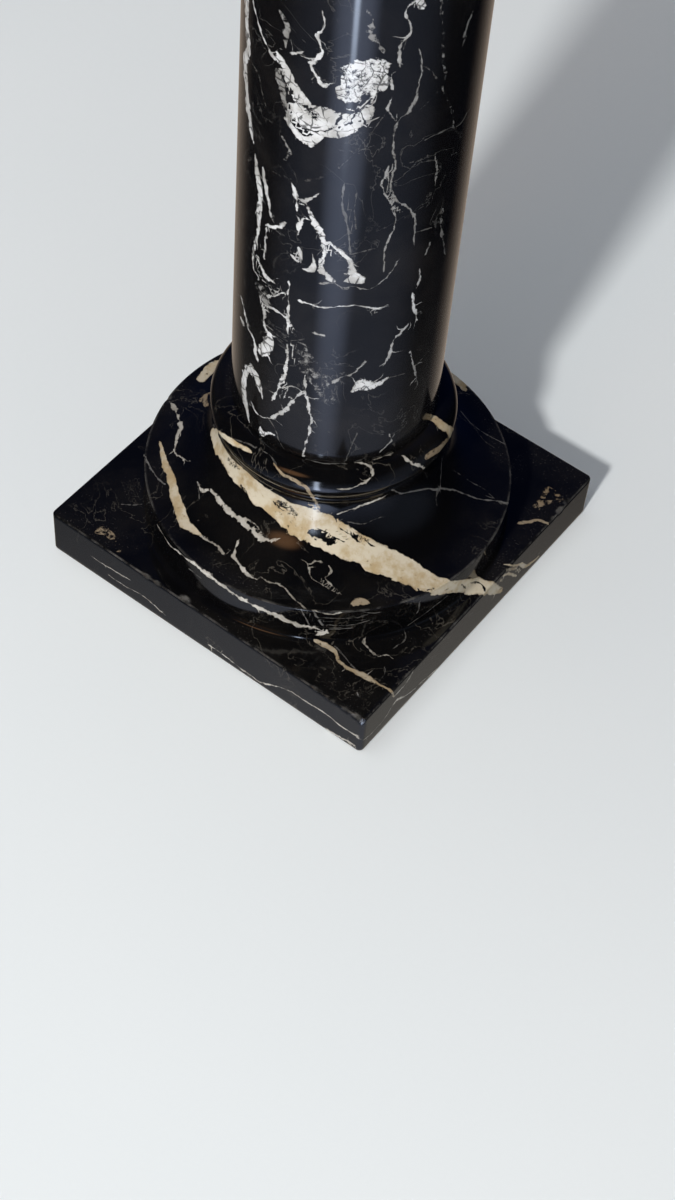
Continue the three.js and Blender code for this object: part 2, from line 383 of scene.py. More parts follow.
BASE_HAIR = {
    "left twig": (0.7, 0.8, ((144, 455), (150, 466), (158, 479), (165, 484))),
    "grey vein tail": (0.5, 0.7, ((198, 482), (200, 498))),
    "cove long hair": (0.6, 0.8, (
        (392, 490), (402, 493), (417, 490), (434, 489), (454, 490), (470, 496), (484, 500), (497, 501),
        (508, 503))),
    "cove second hair": (0.4, 0.6, ((453, 470), (470, 481), (484, 489), (496, 500), (508, 508))),
    "cove right hair": (0.5, 0.7, ((461, 411), (470, 422), (484, 433), (497, 440), (505, 444))),
    "cove upright hair": (0.5, 0.65, ((443, 454), (441, 470), (440, 486), (436, 497), (437, 506))),
    "cove streak": (0.4, 0.65, ((348, 522), (364, 524), (373, 520), (384, 517))),
    "drum hair right": (0.5, 0.75, ((447, 596), (437, 604), (428, 611), (417, 619), (407, 626))),
    "drum hair short": (0.5, 0.7, ((420, 602), (419, 608), (417, 613))),
    # painted reflection: the four wall lines are pale horizontal streaks on the drum wall that stand in for
    # stretched reflections of the veins in the polished wall, and for polishing marks
    "wall reflection and polish line one": (0.4, 0.8, ((363, 612), (372, 613), (381, 612))),
    "wall reflection and polish line two": (0.35, 0.7, ((320, 618), (345, 618), (364, 617))),
    "wall reflection and polish line three": (0.4, 0.75, ((326, 625), (350, 625), (370, 620))),
    "wall reflection and polish line four": (0.4, 0.75, ((329, 629), (340, 629), (352, 628))),
    "drum slant one": (0.5, 0.8, ((301, 610), (305, 617), (309, 625))),
    "drum slant two": (0.6, 0.85, ((313, 611), (318, 619), (323, 626))),
    "plinth hair": (0.5, 0.65, ((404, 630), (405, 640), (392, 649))),
    "plinth hair low": (0.5, 0.65, ((385, 667), (384, 675), (379, 681))),
    "plinth vein strand": (0.6, 0.65, ((335, 647), (344, 656), (352, 665), (359, 672))),
    "second drum line": (0.4, 0.7, ((188, 568), (194, 573), (201, 578))),
    "torus seam": (0.6, 0.62, ((235, 439), (254, 447), (270, 456), (276, 464))),
    # painted highlight: a pale line on the torus along the shaft's foot, where the rounded foot of the shaft
    # catches the light
    "joint highlight line": (0.4, 0.8, ((306, 459), (323, 463), (345, 464))),
    "plinth angle": (0.5, 0.62, ((122, 504), (133, 505), (142, 504))),
    "plinth fleck": (0.9, 0.9, ((357, 693), (358, 696))),
    "rim fleck": (1.2, 0.55, ((500, 532), (501, 537))),
}

SHAFT_BROAD = {
    "hook arm": (3.2, 1.0, (
        (279, 57, 0.9), (285, 67, 0.9), (291, 80, 0.9), (298, 92, 1.0), (305, 102, 1.2))),
    "hook arm left": (2.4, 0.66, ((279, 73), (282, 86), (284, 101), (287, 115), (289, 126))),
    "hook body": (9.0, 0.97, (
        (294, 108, 0.5), (303, 115, 0.9), (316, 121, 1.0), (328, 119, 0.8), (340, 122, 0.5))),
    "hook foot": (3.4, 0.97, (
        (286, 119, 0.6), (293, 130, 0.9), (305, 140, 1.1), (314, 139, 0.8), (330, 134, 0.7),
        (345, 132, 0.8),
        (360, 124, 0.8), (368, 116, 0.8))),
    "hook right blocks": (4.4, 0.92, ((341, 119), (352, 119), (364, 116), (369, 108, 0.7))),
    "lace": (13.0, 0.97, ((353, 92, 0.75), (361, 81, 1.0), (371, 71, 0.75), (385, 66, 0.3))),
    "lace edge": (1.0, 0.95, ((371, 104), (375, 90), (381, 77), (388, 66))),
    "upper strand": (2.0, 0.66, ((281, 13, 0.7), (287, 25, 1.0), (286, 35, 1.1), (285, 46, 0.5))),
    "top patch": (2.4, 0.95, ((420, 0), (423, 6, 0.8))),
    "left cream vein": (3.6, 0.9, (
        (247, -4, 1.0), (247, 20, 0.9), (248, 48, 1.0), (245, 63, 1.0), (246, 86, 1.2), (248, 105, 1.1),
        (250, 124, 0.8), (253, 141, 0.3))),
    "left vein below": (2.2, 0.93, (
        (255, 155, 0.3), (257, 168, 0.8), (259, 187, 1.3), (260, 203, 1.2), (259, 220, 0.9),
        (255, 245, 0.5),
        (253, 268, 0.4), (258, 277, 0.4))),
    "left blotch": (1.9, 0.97, ((267, 226, 0.8), (276, 228, 1.1), (285, 223, 0.6))),
    "left knot": (1.7, 0.97, ((258, 257, 0.5), (262, 270, 1.0), (266, 277, 1.2), (273, 283, 0.6))),
    "left knot cloud": (5.0, 0.58, ((259, 285, 0.8), (264, 297, 1.0), (266, 307, 0.6))),
    "diagonal": (2.2, 1.0, (
        (330, 243, 0.6), (339, 252, 1.0), (349, 262, 1.1), (354, 272, 1.2), (360, 279, 1.4))),
    "diagonal foot": (2.4, 0.95, ((347, 281, 0.7), (354, 279, 1.0), (362, 281, 0.6))),
    "zigzag right": (1.8, 0.95, (
        (309, 208, 0.6), (314, 222, 1.1), (320, 231, 1.2), (324, 241, 0.8), (324, 254, 0.8),
        (321, 268, 0.9),
        (326, 276, 1.2), (334, 281, 0.6))),
    "foot blotch": (3.8, 1.0, ((270, 335, 0.6), (269, 343, 1.0), (265, 349, 1.1), (261, 353, 0.7))),
    "foot arch left": (2.7, 0.98, (
        (252, 367, 0.8), (246, 371, 1.0), (244, 380, 1.1), (244, 392, 1.1), (246, 405, 1.2),
        (249, 421, 0.4))),
    "foot arch right": (2.4, 0.95, ((251, 369, 1.0), (257, 377, 1.0), (260, 388, 0.8), (262, 398, 0.3))),
    "foot vein": (1.6, 0.97, ((288, 345, 0.6), (287, 359, 0.6), (285, 370, 1.2), (282, 382, 0.9))),
    "bright blot": (3.4, 0.97, (
        (353, 391, 0.4), (358, 386, 0.9), (364, 383, 1.3), (371, 385, 1.1), (379, 384, 0.6),
        (387, 378, 0.35))),
    "cloud": (6.5, 0.54, (
        (302, 347, 0.7), (308, 362, 1.0), (315, 375, 1.1), (324, 390, 1.0), (330, 402, 0.6))),
    "edge blob": (1.9, 0.85, ((241, 319), (243, 323))),
    "foot zigzag": (1.4, 1.0, ((261, 428), (262, 434), (267, 433), (273, 435))),
}

SHAFT_DARK = {
    "hook gap": (0.8, 1.0, ((281, 72), (287, 86), (293, 100))),
    "hook hole": (3.2, 0.66, ((308, 112, 0.6), (313, 114, 1.0), (318, 116, 0.6))),
    "block gap left": (0.8, 1.0, ((335, 125), (340, 118), (345, 111))),
    "block gap middle": (0.7, 1.0, ((351, 124), (354, 117), (357, 111))),
    "block gap right": (0.8, 1.0, ((361, 111), (363, 117), (365, 124))),
    "lace holes": (13.0, 0.56, ((352, 94, 0.8), (361, 82, 1.0), (371, 72, 0.8), (386, 66, 0.5))),
    "lace gap": (1.2, 0.9, ((338, 105), (350, 107), (362, 104), (368, 99))),
    "body crack": (0.5, 1.0, ((303, 128), (316, 131), (330, 130))),
}

SHAFT_WHITE = {
    "fork strand": (1.2, 0.9, (
        (323, 11, 0.4), (324, 29, 0.4), (317, 36, 0.8), (322, 50, 0.8), (320, 57, 1.0), (311, 65, 1.6),
        (316, 75, 1.1), (322, 85, 1.1), (333, 84, 0.7))),
    "dash": (0.9, 0.9, ((291, 53), (297, 53), (302, 52))),
    "right strand": (1.4, 0.62, (
        (368, 11, 0.6), (374, 21, 0.9), (371, 34, 1.5), (379, 44, 1.0), (383, 52, 0.7))),
    "meander top": (0.8, 0.8, (
        (415, 1, 1.4), (406, 11, 1.0), (411, 27, 0.7), (408, 36, 1.1), (400, 46, 1.1), (399, 67, 0.8))),
    "meander short": (0.9, 0.82, ((392, 75), (393, 89))),
    "meander joint": (0.8, 0.78, ((392, 98), (388, 109), (394, 120))),
    "meander right": (0.7, 0.68, (
        (419, 48, 0.5), (422, 65, 0.7), (419, 84, 0.8), (415, 99, 1.3), (408, 113, 1.6), (399, 119, 1.3),
        (395, 130, 1.0), (393, 149, 0.8), (396, 164, 0.7), (391, 182, 1.1), (395, 199, 1.0),
        (408, 208, 0.9),
        (415, 218, 1.0), (414, 245, 0.5))),
    "meander lower": (0.8, 0.72, (
        (389, 166, 0.7), (382, 184, 1.2), (387, 197, 0.7), (393, 210, 1.1), (395, 222, 1.1),
        (389, 237, 0.8),
        (385, 249, 0.7), (383, 272, 0.7))),
    "far right vein": (0.9, 0.55, (
        (441, -2), (443, 38), (444, 57), (445, 75), (442, 90), (452, 109), (453, 126))),
    "right edge vein": (1.1, 0.64, ((472, 13), (466, 29), (463, 44))),
    "right dash": (0.9, 0.68, ((436, 157), (437, 166), (436, 184))),
    "right low vein": (1.0, 0.65, ((442, 210), (441, 229), (445, 254))),
    "right lower dash": (0.6, 0.68, ((430, 243), (425, 256))),
    "right spot": (1.0, 0.8, ((419, 270, 0.7), (420, 277, 1.1), (418, 285, 0.7))),
    "right stroke": (1.1, 0.95, ((413, 293, 0.7), (414, 304, 1.0), (416, 316, 1.3), (414, 327, 0.7))),
    "right twig": (1.0, 0.78, (
        (409, 323, 0.5), (401, 333, 1.0), (394, 340, 1.5), (390, 353, 0.8), (384, 365, 0.8))),
    "zigzag left": (1.4, 0.92, ((292, 184, 0.5), (296, 195, 1.2), (297, 210, 0.6))),
    "zigzag cross": (0.9, 0.85, ((296, 201), (306, 200, 1.3), (320, 194, 0.4))),
    "zigzag block": (1.5, 0.92, ((298, 233, 1.0), (300, 224, 1.0), (304, 219, 1.2), (309, 220, 0.6))),
    "zigzag foot": (1.3, 0.92, ((304, 269, 1.0), (310, 270, 1.2), (314, 264, 0.9), (312, 254, 0.4))),
    "zigzag spur": (0.9, 0.85, ((299, 248), (302, 259))),
    "zigzag heel": (1.1, 0.85, ((292, 256), (297, 261))),
    "left inner strand": (1.1, 0.85, ((263, 168, 0.6), (266, 187, 1.1), (269, 203, 1.0), (270, 216, 0.6))),
    "left blotch tail": (0.8, 0.8, ((266, 228), (266, 245), (264, 258))),
    "left top strand": (1.0, 0.85, ((253, 0), (259, 25), (266, 44), (275, 59))),
    "left grey spots": (2.0, 0.45, ((261, 107), (266, 114), (270, 122))),
    "left grey spots below": (1.2, 0.62, ((282, 138), (289, 151), (285, 159))),
    "cross line": (0.9, 0.95, (
        (300, 301, 1.3), (308, 303, 1.0), (317, 306, 0.8), (327, 307, 0.7), (337, 306, 0.7),
        (348, 306, 0.7),
        (357, 305, 0.6), (373, 308, 0.6), (387, 307, 0.3))),
    "under loop": (0.7, 0.68, (
        (320, 283), (333, 283), (345, 289, 1.2), (352, 286), (364, 289), (371, 289), (383, 281), (389, 275),
        (400, 258, 0.6))),
    "left upright": (1.0, 0.92, (
        (289, 281, 0.8), (288, 295, 0.9), (289, 307, 0.7), (288, 322, 0.9), (288, 336, 0.6))),
    "knot right": (1.1, 0.92, ((284, 293, 0.6), (276, 295, 1.0), (268, 297, 0.9))),
    "knot slope": (1.1, 0.85, (
        (260, 297), (263, 304), (270, 307), (277, 311), (287, 319, 0.6), (294, 329, 0.4))),
    "knot spikes": (1.6, 0.85, (
        (261, 302, 0.8), (264, 312), (264, 322, 1.1), (268, 332, 0.7), (274, 336, 0.5))),
    "left edge vein": (1.3, 0.92, (
        (241, 296, 0.4), (244, 309, 0.6), (246, 319, 0.8), (249, 330, 0.5), (254, 340, 0.8),
        (256, 353, 1.3),
        (258, 361, 0.8))),
    "foot line": (0.9, 0.86, ((305, 376), (305, 390), (310, 412), (311, 426), (305, 445), (303, 456))),
    "foot net": (1.2, 0.82, (
        (251, 402, 0.4), (256, 412, 0.7), (265, 418, 0.9), (277, 415, 1.1), (285, 409, 1.4),
        (292, 402, 1.1),
        (301, 393, 0.7))),
    "foot net top": (0.6, 0.8, ((304, 392), (298, 388), (291, 386), (284, 389))),
    "foot net left": (1.1, 0.85, ((282, 382), (277, 392), (272, 400))),
    "foot net inner": (0.9, 0.8, ((288, 390), (284, 398))),
    "foot dot": (1.2, 0.9, ((290, 397), (292, 398))),
    "cloud edge": (1.2, 0.72, (
        (333, 382, 1.2), (341, 377, 0.9), (350, 375, 0.9), (357, 369, 0.9), (367, 361, 0.7))),
    "cloud fleck": (1.4, 0.85, ((314, 333), (324, 335, 0.6))),
    "right foot vein": (0.7, 0.75, ((410, 352), (414, 367), (417, 382))),
    "foot right twig": (0.7, 0.8, ((380, 452), (386, 446), (392, 440), (389, 435))),
}

SHAFT_HAIR = {
    "middle hair": (0.6, 0.75, ((345, 184), (342, 203), (346, 218, 1.3), (349, 241), (350, 254))),
    "middle hair right": (0.5, 0.65, ((357, 193), (355, 208), (356, 229))),
    "cross hair": (0.5, 0.65, ((352, 255), (364, 251), (375, 249))),
    "scratch long": (0.35, 0.6, ((388, 110), (372, 132), (352, 156), (338, 170))),
    "scratch arc": (0.35, 0.55, ((338, 150), (356, 151), (386, 142))),
    "right hair": (0.5, 0.6, ((422, 66), (432, 71), (437, 78))),
    "right fork": (0.5, 0.55, ((412, 116), (424, 106), (438, 92))),
    "edge hair": (0.5, 0.7, ((469, 109), (460, 124), (446, 130), (425, 140))),
    "left hair": (0.7, 0.6, ((251, 61), (259, 76), (263, 96), (266, 107))),
    "seam": (0.7, 0.5, ((264, 168), (278, 174), (296, 180), (318, 178), (338, 168))),
    "twig low": (0.6, 0.7, ((417, 232), (431, 228))),
    "foot hair left": (0.5, 0.7, ((269, 419), (275, 429), (278, 439), (284, 449))),
    "foot hair right": (0.4, 0.7, ((346, 461), (353, 444), (357, 433))),
    "right slope": (0.4, 0.6, ((414, 367), (426, 354), (439, 337))),
    "upright branch": (0.5, 0.7, ((291, 341), (304, 339))),
    "top grey": (1.2, 0.5, ((333, 2), (338, 5))),
    "blot tail": (0.4, 0.65, ((387, 378), (404, 374))),
}


class Stroke:
    """A vein on a surface: points, surface normals, half widths and a tone."""

    def __init__(self, points, normals, half_widths, tone):
        self.points = np.array(points)
        self.normals = np.array(normals)
        self.half_widths = np.array(half_widths)
        self.tone = tone
        self.tangents = np.gradient(self.points, axis=0)
        self.tangents /= np.maximum(np.linalg.norm(self.tangents, axis=1, keepdims=True), 1e-9)


def smooth_line(points, step):
    """Catmull-Rom line through the points, sampled about every step."""
    padded = np.concatenate([points[:1] * 2 - points[1:2], points, points[-1:] * 2 - points[-2:-1]])
    samples = []
    for a, b, c, d in zip(padded, padded[1:], padded[2:], padded[3:]):
        count = max(2, int(np.linalg.norm((c - b)[:2]) / step))
        t = np.linspace(0, 1, count, endpoint=False)[:, None]
        samples.append(0.5 * (2 * b + (c - a) * t + (2 * a - 5 * b + 4 * c - d) * t ** 2
                              + (3 * b - a - 3 * c + d) * t ** 3))
    return np.concatenate(samples + [points[-1:]])


def pixel_strokes(tree, table):
    """Strokes where the camera's rays through the drawn pixels meet a surface."""
    strokes = []
    for half_width, tone, drawn in table.values():
        points = np.array([p if len(p) == 3 else (*p, 1.0) for p in drawn], float)
        hits = []
        for x, y, share in smooth_line(points, 1.0):
            place, normal, _, _ = tree.ray_cast(CAMERA_PLACE, pixel_ray(x, y))
            if place is not None:
                hits.append((place, normal, half_width * share))
        strokes += unbroken(hits, tone)
    return strokes


def unbroken(hits, tone):
    """Strokes of closely spaced samples from ray hits, parted where the line jumps to another surface."""
    longest_gap = 9.0
    spacing = 0.7
    runs = [[hits[0]]] if hits else []
    for before, after in zip(hits, hits[1:]):
        if (after[0] - before[0]).length > longest_gap:
            runs.append([])
        runs[-1].append(after)
    strokes = []
    for run in runs:
        if len(run) < 2:
            continue
        points = np.array([hit[0] for hit in run])
        way = np.concatenate([[0], np.cumsum(np.linalg.norm(np.diff(points, axis=0), axis=1))])
        even = np.linspace(0, way[-1], max(3, int(way[-1] / spacing)))
        columns = np.concatenate([points, [hit[1] for hit in run], [[hit[2]] for hit in run]], axis=1)
        smooth = np.stack([np.interp(even, way, column) for column in columns.T], -1)
        strokes.append(Stroke(smooth[:, :3], smooth[:, 3:6], smooth[:, 6], tone))
    return strokes


def twigs(tree, strokes, rng, spacing, longest):
    """Short fine side branches that leave the given veins."""
    step = 0.8
    plainest = 0.75
    made = []
    for stroke in (one for one in strokes if one.tone >= plainest):
        length = np.linalg.norm(np.diff(stroke.points, axis=0), axis=1).sum()
        for start in rng.integers(len(stroke.points), size=rng.poisson(length / spacing)):
            normal = Vector(stroke.normals[start]).normalized()
            tangent = Vector(stroke.tangents[start])
            turn = rng.choice((-1, 1)) * rng.uniform(0.3, 1.2)
            course = Matrix.Rotation(turn, 3, normal) @ tangent
            side = normal.cross(tangent) * math.copysign(1, turn)
            place = Vector(stroke.points[start]) + side * stroke.half_widths[start] * 0.8
            points, normals = [], []
            for _ in range(int(rng.uniform(0.25, 1.0) * longest / step)):
                near, facing, _, _ = tree.find_nearest(place)
                points.append(near)
                normals.append(facing)
                course = Matrix.Rotation(rng.normal(0, 0.22), 3, facing) @ course
                place = near + course * step
            if len(points) > 2:
                widths = np.linspace(rng.uniform(0.3, 0.75), 0.12, len(points))
                made.append(Stroke(points, normals, widths, rng.uniform(0.6, 0.9)))
    return made


FAR = 60.0
GUARD = 3.0


def vein_field(points, strokes):
    """For each point: signed distance to the nearest vein's line, that vein's reach, and its tone."""
    field = np.tile([FAR, -FAR, 0.0], (len(points), 1))
    best = np.full(len(points), FAR)
    margin = 9.0
    for stroke in strokes:
        around = margin + stroke.half_widths.max()
        low, high = stroke.points.min(0) - around, stroke.points.max(0) + around
        inside = np.all((points > low) & (points < high), axis=1)
        for near in np.array_split(np.where(inside)[0], max(1, inside.sum() // 3000)):
            offset = points[near][:, None] - stroke.points[None]
            gap = np.linalg.norm(offset, axis=2)
            closest = np.argmin(gap - stroke.half_widths, axis=1)
            row = np.arange(len(near))
            distance = gap[row, closest]
            sideways = np.cross(stroke.normals[closest], stroke.tangents[closest])
            signed = np.einsum("ij,ij->i", offset[row, closest], sideways)
            width = stroke.half_widths[closest]
            reach = width + abs(signed) - distance - 3 * np.maximum(distance - width - GUARD, 0)
            better = distance - width < best[near]
            chosen = near[better]
            best[chosen] = (distance - width)[better]
            field[chosen] = np.stack([signed, reach, np.full(len(near), stroke.tone)], -1)[better]
    return field


def profile_surface(rings):
    """Function giving the point and normal at an angle and a way along a ring stack's profile, in mm."""
    radii = np.array(rings.radii)
    levels = np.array(rings.levels)
    mean = radii.mean(1)
    way = np.concatenate([[0], np.cumsum(np.hypot(np.diff(mean), np.diff(levels)))])

    def at(angle, s):
        column = np.argmin(abs((rings.angles - angle + math.pi) % (2 * math.pi) - math.pi))
        radius = np.interp(s, way, radii[:, column])
        level = np.interp(s, way, levels)
        slope = np.array([np.interp(s + 1, way, radii[:, column]) - np.interp(s - 1, way, radii[:, column]),
                          np.interp(s + 1, way, levels) - np.interp(s - 1, way, levels)])
        slope /= max(np.linalg.norm(slope), 1e-9)
        normal = (slope[1] * math.cos(angle), slope[1] * math.sin(angle), -slope[0])
        return (radius * math.cos(angle), radius * math.sin(angle), level), normal, radius

    return at, way[-1]


def wandering_strokes(rings, rng, count, hidden, half_width, length, steep, tone):
    """Veins that wander over the sides which the photograph doesn't show."""
    at, full = profile_surface(rings)
    step = 1.5
    strokes = []
    while len(strokes) < count:
        angle, s = rng.uniform(0, 2 * math.pi), rng.uniform(0, full)
        course = rng.normal(steep, 0.5) * rng.choice((-1, 1))
        width = half_width * rng.uniform(0.5, 1.5)
        samples = int(length * rng.uniform(0.4, 1.4) / step)
        points, normals, widths = [], [], []
        bend = 0.0
        for k in range(samples):
            place, normal, radius = at(angle, s)
            if not hidden(angle, place) or not 0 < s < full:
                break
            points.append(place)
            normals.append(normal)
            taper = math.sin(math.pi * (k + 1) / (samples + 1)) ** 0.5
            widths.append(width * taper * rng.uniform(0.6, 1.4))
            bend = 0.9 * bend + rng.normal(0, 0.09)
            course += bend * 0.35
            angle += step * math.cos(course) / max(radius, 20)
            s += step * math.sin(course)
        if len(points) > 8:
            strokes.append(Stroke(points, normals, widths, tone))
    return strokes


def off_view(angle):
    """Angle between a direction and the camera's side of the column, in degrees."""
    return abs((math.degrees(angle) - math.degrees(VIEW_AZIMUTH) + 90 + 180) % 360 - 180)


# Node graphs for materials and for the surroundings

class Graph:
    """Short forms for making and linking nodes in a tree."""

    def __init__(self, tree):
        self.tree = tree
        self.tree.nodes.clear()

    def node(self, kind, **settings):
        made = self.tree.nodes.new("ShaderNode" + kind)
        for key, value in settings.items():
            setattr(made, key, value)
        return made

    def put(self, value, socket):
        if isinstance(value, bpy.types.NodeSocket):
            self.tree.links.new(value, socket)
        else:
            socket.default_value = value

    def math(self, operation, a, b=0.0):
        node = self.node("Math", operation=operation)
        self.put(a, node.inputs[0])
        self.put(b, node.inputs[1])
        return node.outputs[0]

    def vector(self, operation, a, b):
        node = self.node("VectorMath", operation=operation)
        self.put(a, node.inputs[0])
        self.put(b, node.inputs[1])
        return node.outputs[0]

    def dot(self, a, b):
        node = self.node("VectorMath", operation="DOT_PRODUCT")
        self.put(a, node.inputs[0])
        self.put(b, node.inputs[1])
        return node.outputs["Value"]

    def scaled(self, vector, amount):
        node = self.node("VectorMath", operation="SCALE")
        self.put(vector, node.inputs[0])
        self.put(amount, node.inputs["Scale"])
        return node.outputs[0]

    def step(self, value, low, high, start=0.0, end=1.0):
        node = self.node("MapRange", interpolation_type="SMOOTHSTEP")
        for socket, number in zip(node.inputs, (value, low, high, start, end)):
            self.put(number, socket)
        return node.outputs[0]

    def mix(self, share, a, b):
        node = self.node("Mix", data_type="RGBA")
        self.put(share, node.inputs[0])
        for value, socket in ((a, node.inputs[6]), (b, node.inputs[7])):
            self.put(value if isinstance(value, bpy.types.NodeSocket) else (*value, 1), socket)
        return node.outputs[2]

    def noise(self, where, scale, detail=4.0, roughness=0.55, distortion=0.0):
        node = self.node("TexNoise")
        self.put(where, node.inputs["Vector"])
        settings = {"Scale": scale, "Detail": detail, "Roughness": roughness, "Distortion": distortion}
        for name, value in settings.items():
            node.inputs[name].default_value = value
        return node.outputs[0]

    def colour_noise(self, where, scale):
        """Three unlike noises as one vector."""
        node = self.node("TexNoise")
        self.put(where, node.inputs["Vector"])
        node.inputs["Scale"].default_value = scale
        return node.outputs["Color"]

    def swing(self, where, scale, amount, detail=3.0):
        """Noise about zero that swings by about the amount either way."""
        return self.math("MULTIPLY", self.math("SUBTRACT", self.noise(where, scale, detail), 0.5), 4 * amount)

    def shards(self, where, scale, amount):
        """Steps about zero between angular cells, up to the amount either way."""
        node = self.node("TexVoronoi")
        self.put(where, node.inputs["Vector"])
        node.inputs["Scale"].default_value = scale
        level = self.split(node.outputs["Color"])[0]
        return self.math("MULTIPLY", self.math("SUBTRACT", level, 0.5), 2 * amount)

    def attribute(self, name):
        return self.node("Attribute", attribute_name=name)

    def split(self, vector):
        node = self.node("SeparateXYZ")
        self.put(vector, node.inputs[0])
        return node.outputs


def new_material(name):
    material = bpy.data.materials.new(name)
    material.use_nodes = True
    return material, Graph(material.node_tree)


# Marble: pale core, warmer cloud and dull margin of each kind of vein

GOLD_TONES = ((0.58, 0.525, 0.41), (0.43, 0.33, 0.19), (0.18, 0.13, 0.078))
GREY_TONES = ((0.60, 0.58, 0.53), (0.38, 0.36, 0.32), (0.16, 0.145, 0.12))
WHITE_TONES = ((0.70, 0.71, 0.72), (0.44, 0.435, 0.42), (0.17, 0.165, 0.155))
HAIR_TONES = ((0.21, 0.21, 0.205), (0.135, 0.13, 0.125), (0.065, 0.062, 0.057))


def vein_edge(g, layer, where, wobble, ragged, swell_scale, thinnest, widest):
    """Distance past the edge of a layer's veins in mm, negative inside, and the veins' tone."""
    signed, reach, tone = g.split(g.attribute(layer).outputs["Vector"])
    drift = g.math("ADD", g.swing(where, 70, wobble), g.swing(where, 300, ragged))
    drift = g.math("ADD", drift, g.shards(where, 170, ragged * 0.6))
    drift = g.math("ADD", drift, g.swing(where, 1000, ragged * 0.4))
    line = g.math("ABSOLUTE", g.math("ADD", signed, drift))
    swell = g.step(g.noise(where, swell_scale, 5, 0.62), 0.36, 0.64, thinnest, widest)
    return g.math("SUBTRACT", line, g.math("MULTIPLY", reach, swell)), tone


def vein_cover(g, edge, tone, where, grain, softness):
    """Share of a vein's colour that shows: solid at tone 1, broken up by fine noise at lower tones."""
    body = g.step(edge, -softness, softness, 1.0, 0.0)
    speck = g.noise(where, grain, 8, 0.72, 0.6)
    full = g.step(g.math("ADD", speck, g.math("MULTIPLY", tone, 0.85)), 0.96, 1.07)
    return g.math("MULTIPLY", body, full)


def vein_colour(g, where, edge, tone, tones):
    """Pale core with warmer clouds, duller where the tone is low or near the vein's edge."""
    core, warm, dull = tones
    colour = g.mix(g.step(g.noise(where, 55, 6, 0.62), 0.42, 0.64), core, warm)
    stain = g.step(g.noise(where, 210, 7, 0.72, 0.5), 0.50, 0.68, 0.0, 0.6)
    colour = g.mix(stain, colour, warm)
    margin = g.math("MULTIPLY", g.step(edge, -1.6, 0.1), g.step(g.noise(where, 160, 4), 0.40, 0.65))
    colour = g.mix(g.math("MULTIPLY", margin, 0.7), colour, dull)
    return g.mix(g.step(tone, 0.62, 0.98, 0.85, 0.0), colour, dull)


def crack_lines(g, where):
    """Share of the fine black cracks that part the veins into angular blocks."""
    bent = g.vector("ADD", where, g.scaled(g.colour_noise(where, 90), 0.006))
    cells = g.node("TexVoronoi", feature="DISTANCE_TO_EDGE")
    g.put(bent, cells.inputs["Vector"])
    cells.inputs["Scale"].default_value = 135
    width = g.step(g.noise(where, 70, 4), 0.42, 0.66, 0.0, 0.09)
    return g.step(g.math("SUBTRACT", cells.outputs["Distance"], width), -0.02, 0.02, 1.0, 0.0)


def dust_film(g, where, amount, colour):
    """Colour with a film of dust and grit on what faces up, and the share of it."""
    up = g.split(g.node("NewGeometry").outputs["Normal"])[2]
    facing = g.step(up, 0.93, 0.99)
    grit = g.step(g.noise(where, 620, 2, 0.7), 0.60, 0.72)
    film = g.step(g.noise(where, 24, 4), 0.38, 0.72)
    share = g.math("MULTIPLY", facing, g.math("MULTIPLY", film, g.math("ADD", 0.12, grit)))
    return g.mix(g.math("MULTIPLY", share, amount), colour, (0.20, 0.18, 0.16)), share


